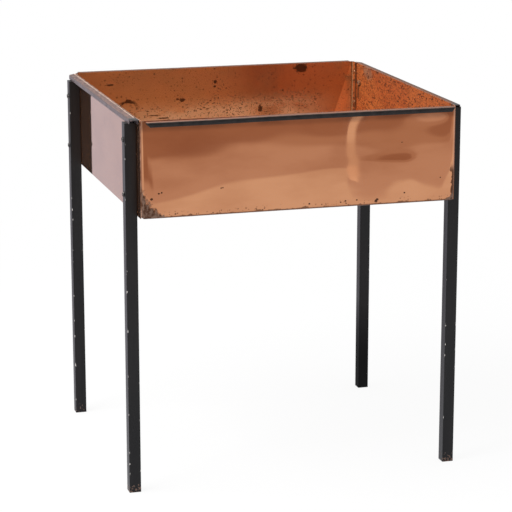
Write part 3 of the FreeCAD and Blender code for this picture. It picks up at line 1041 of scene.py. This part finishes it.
# Leg nuts
# Eight plain hexagon nuts on the screws inside the tray, tightened against the end panels. Water has
# rusted them.
NUT_FLATS = 0.007
NUT_BORE = 0.00205
NUT_CHAMFER, NUT_EDGE = 0.0005, 0.00012
NUT_SIDES, ROUND_SIDES, BORE_SIDES = 6, 48, 32


def rusty_steel():
    """Plain steel gone to flaky rust."""
    material, skin, place = start_finish("rusty_steel")
    scale = cloud(place, 420.0, 5.0)
    colour = mix(ramp(scale, 0.32, 0.62), rgb(0.085, 0.030, 0.014), rgb(0.46, 0.24, 0.12))
    metal = ramp(scale, 0.50, 0.70, 0.0, 0.8)
    rough = ramp(scale, 0.3, 0.7, 0.8, 0.45)
    feed(skin, Base_Color=colour, Metallic=metal, Roughness=rough, Normal=bump(scale, 0.00025))
    return material


nut_corner = NUT_FLATS / math.sqrt(3)
nut = disc("nut", nut_corner, 0, NUT_HEIGHT, NUT_SIDES)
bpy.ops.object.mode_set(mode="OBJECT")
round_off = disc("round_off", nut_corner, 0, NUT_HEIGHT, ROUND_SIDES)
pick(round_off, "EDGE", lambda edge: not along(edge, 2))
bpy.ops.mesh.bevel(offset=NUT_CHAMFER, segments=1, affect="EDGES")
cut_away(nut, round_off, "INTERSECT")
cut_away(nut, disc("bore", NUT_BORE, -NUT_HEIGHT, 2 * NUT_HEIGHT, BORE_SIDES))
soften(nut, NUT_EDGE, 25)
nut.data.materials.append(rusty_steel())
smooth(nut, FASTENER_ANGLE)
for index, (name, outward, deep, up) in enumerate(fastenings):
    spot = Vector((outward * nut_seat, deep, up))
    copy = place_copy(nut, f"nut_{name}", spot, -outward, index * SCREW_TURN)
    fit(copy, "leg_nuts")
bpy.data.objects.remove(nut)


# Floor
# White paper on the floor of a room. The camera sees only paper; the polished copper also shows where
# it ends in front of the table, and the brown boards beyond.
FLOOR_SIZE = 40
PAPER, PAPER_SHADED_BEHIND = rgb(0.94, 0.97, 1.0), rgb(0.61, 0.58, 0.65)
NEAR_BOARDS, FAR_BOARDS = rgb(0.73, 0.66, 0.66), rgb(0.59, 0.475, 0.43)
ROOM, ROOM_DEEP = rgb(0.45, 0.31, 0.255), rgb(0.31, 0.18, 0.13)
WHITE = rgb(1, 1, 1)
PAPER_END, BOARDS_END, DEEP_START = -2.31, -2.74, -3.35
NEAR_BLUR, FAR_BLUR = 0.03, 0.04
BESIDE_END, BESIDE_NEAR, BESIDE_FAR = (0.30, 0.18), -2.44, -2.54
ROOM_NEAR, ROOM_FAR = -2.78, -2.915
ROOM_TURN, ROOM_LEVEL = 0.66, 0.84
STEP_START, STEP_END, STEP = 0.45, 0.56, 0.045
NOTCH_START, NOTCH_SLANT, NOTCH_BLUR = 0.777, 0.45, 0.005
NOTCH_FULL, NOTCH_END, NOTCH_DEPTH, NOTCH_RISE = 0.67, 1.00, 0.243, -0.03
SHADE, SHADE_START, SHADE_END = 0.90, 0.5, 1.6


def start_glow(name):
    """Start a material without a shader."""
    global tree
    material = bpy.data.materials.new(name)
    material.use_nodes = True
    tree = material.node_tree
    tree.nodes.clear()
    return material


def end_glow(output, share, first, second):
    """End with a blend of two shaders."""
    blend = node("MixShader", {0: share, 1: first, 2: second}).outputs[0]
    node(output, {"Surface": blend})


def floor_finish():
    """Plain paper to the camera, and to the copper the paper, the boards and the room."""
    material = start_glow("white_paper")
    place = node("TexCoord").outputs["Object"]
    across, away, _ = split(place)
    slant = calc("MULTIPLY", calc("SUBTRACT", away, PAPER_END), NOTCH_SLANT)
    slanted = calc("ADD", across, slant)
    notch = both(ramp(slanted, NOTCH_START - NOTCH_BLUR, NOTCH_START + NOTCH_BLUR),
                 ramp(across, NOTCH_END, NOTCH_FULL, NOTCH_RISE, NOTCH_DEPTH))
    # Painted shade: to the copper, the paper behind the table glows a darker, mauve grey than in front.
    tone = mix(ramp(away, 1.2, -1.4), PAPER_SHADED_BEHIND, PAPER)
    off_paper = below(calc("SUBTRACT", away, notch), PAPER_END, NEAR_BLUR)
    tone = mix(off_paper, tone, NEAR_BOARDS)
    tone = mix(below(away, BOARDS_END, FAR_BLUR), tone, FAR_BOARDS)
    room_edge = calc("ADD", ramp(across, ROOM_TURN, ROOM_LEVEL, ROOM_NEAR, ROOM_FAR),
                     ramp(across, STEP_START, STEP_END, 0.0, STEP))
    in_room = below(calc("SUBTRACT", away, room_edge), 0.0, NEAR_BLUR)
    beside = both(ramp(across, *BESIDE_END), ramp(away, BESIDE_NEAR, BESIDE_FAR))
    tone = mix(either(in_room, beside), tone, ROOM)
    tone = mix(below(away, DEEP_START, FAR_BLUR), tone, ROOM_DEEP)
    ray = node("LightPath").outputs
    glow = mix(ray["Is Glossy Ray"], WHITE, tone)
    distance = node("VectorMath", {0: place}, operation="LENGTH").outputs["Value"]
    bright = ramp(distance, SHADE_START, SHADE_END, SHADE, 1.0)
    seen = either(both(ray["Is Camera Ray"], bright), both(ray["Is Glossy Ray"], 0.95),
                  both(ray["Is Transmission Ray"], 0.8))
    lit = node("BsdfDiffuse", {"Color": rgb(0.9, 0.9, 0.9)}).outputs[0]
    shine = node("Emission", {"Color": glow, "Strength": 1.0}).outputs[0]
    end_glow("OutputMaterial", seen, lit, shine)
    return material


bpy.ops.object.select_all(action="DESELECT")
bpy.ops.mesh.primitive_plane_add(size=FLOOR_SIZE, location=(0, 0, 0))
floor = bpy.context.object
floor.name = "floor"
floor.data.materials.append(floor_finish())


# Light
# An even white surround, a wide soft lamp above on the left, and a narrow upright strip of white in
# front that shows only as a bright streak in the copper.
world = bpy.data.worlds.new("studio")
bpy.context.scene.world = world
world.use_nodes = True
tree = world.node_tree
tree.nodes.clear()
ray = node("LightPath").outputs
_, away, up = split(node("TexCoord").outputs["Generated"])
level = both(ramp(up, -0.1, 0.9, 0.55, 0.95), ramp(away, -0.9, 0.3, 0.75, 1.0))
surround = node("Background", {"Color": WHITE, "Strength": level}).outputs[0]
backdrop = node("Background", {"Color": WHITE, "Strength": 1.0}).outputs[0]
end_glow("OutputWorld", ray["Is Camera Ray"], surround, backdrop)

LAMP_PLACE, LAMP_TARGET = Vector((-1.7, -0.4, 2.1)), Vector((0, 0, 0.4))
LAMP_SIZE, LAMP_POWER = 1.6, 55
bpy.ops.object.light_add(type="AREA", location=LAMP_PLACE)
lamp = bpy.context.object
lamp.name = "overhead_lamp"
lamp.data.shape = "RECTANGLE"
lamp.data.size = LAMP_SIZE
lamp.data.size_y = LAMP_SIZE
lamp.data.energy = LAMP_POWER
lamp.rotation_euler = (LAMP_TARGET - LAMP_PLACE).to_track_quat("-Z", "Y").to_euler()

# The card leans to the left toward its foot, where it is slim, and has a hook to the right at the top.
CARD_LOW, CARD_HIGH = Vector((0.647, -1.93, 0.046)), Vector((0.683, -1.929, 0.30))
CARD_CELL = 0.010
CARD_TOP, CARD_LEAN = 0.235, 0.016
HOOK, HOOK_START = 0.012, 0.195
NARROW, NARROW_RUN = 0.22, 0.05
SLIM, SLIM_MIDDLE, SLIM_START, SLIM_RUN = 0.5, 0.6596, 0.075, 0.03
TOE, TOE_START, TOE_RUN = 0.006, 0.07, 0.045


def streak_white():
    """A white glow that fades out toward one side of the card."""
    material = start_glow("streak_white")
    fade = ramp(node("Attribute", attribute_name="fade").outputs["Fac"], 0.45, 1.0)
    up = split(node("TexCoord").outputs["Object"])[2]
    strength = ramp(up, 0.08, 0.13, 1.12, 0.95)
    shine = node("Emission", {"Color": WHITE, "Strength": strength}).outputs[0]
    end_glow("OutputMaterial", fade, shine, node("BsdfTransparent").outputs[0])
    return material


streak = block("streak_card", CARD_LOW, CARD_HIGH)
slice_up(2, CARD_LOW.z, CARD_HIGH.z, CARD_CELL)
bpy.ops.object.mode_set(mode="OBJECT")
fades = streak.data.attributes.new("fade", "FLOAT", "POINT")
for vertex in streak.data.vertices:
    x, _, z = vertex.co
    narrow = 1 + NARROW * ease(CARD_TOP - z, 0, NARROW_RUN)
    fades.data[vertex.index].value = narrow * (x - CARD_LOW.x) / (CARD_HIGH.x - CARD_LOW.x)
    slim = 1 - SLIM * ease(SLIM_START - z, 0, SLIM_RUN)
    lean = CARD_LEAN * max(CARD_TOP - z, 0) / (CARD_TOP - CARD_LOW.z)
    hook, toe = HOOK * ease(z, HOOK_START, CARD_TOP), TOE * ease(TOE_START - z, 0, TOE_RUN)
    vertex.co.x = SLIM_MIDDLE + slim * (x - SLIM_MIDDLE) + hook - lean - toe
streak.data.materials.append(streak_white())
for hidden in ("visible_camera", "visible_diffuse", "visible_transmission", "visible_shadow"):
    setattr(streak, hidden, False)


# Camera
# It stands to the left of the table's front, a little above the rim, with a long lens.
CAMERA_PLACE = (-0.86802, -2.98124, 1.04451)
CAMERA_DROP, CAMERA_SWING = math.radians(13.692), math.radians(16.220)
CAMERA_SENSOR, CAMERA_LENS = 36, 146.125
bpy.ops.object.camera_add(location=CAMERA_PLACE, rotation=(math.pi / 2 - CAMERA_DROP, 0, -CAMERA_SWING))
camera = bpy.context.object
camera.data.sensor_width = CAMERA_SENSOR
camera.data.lens = CAMERA_LENS
bpy.context.scene.camera = camera
bpy.context.scene.view_settings.view_transform = "Standard"
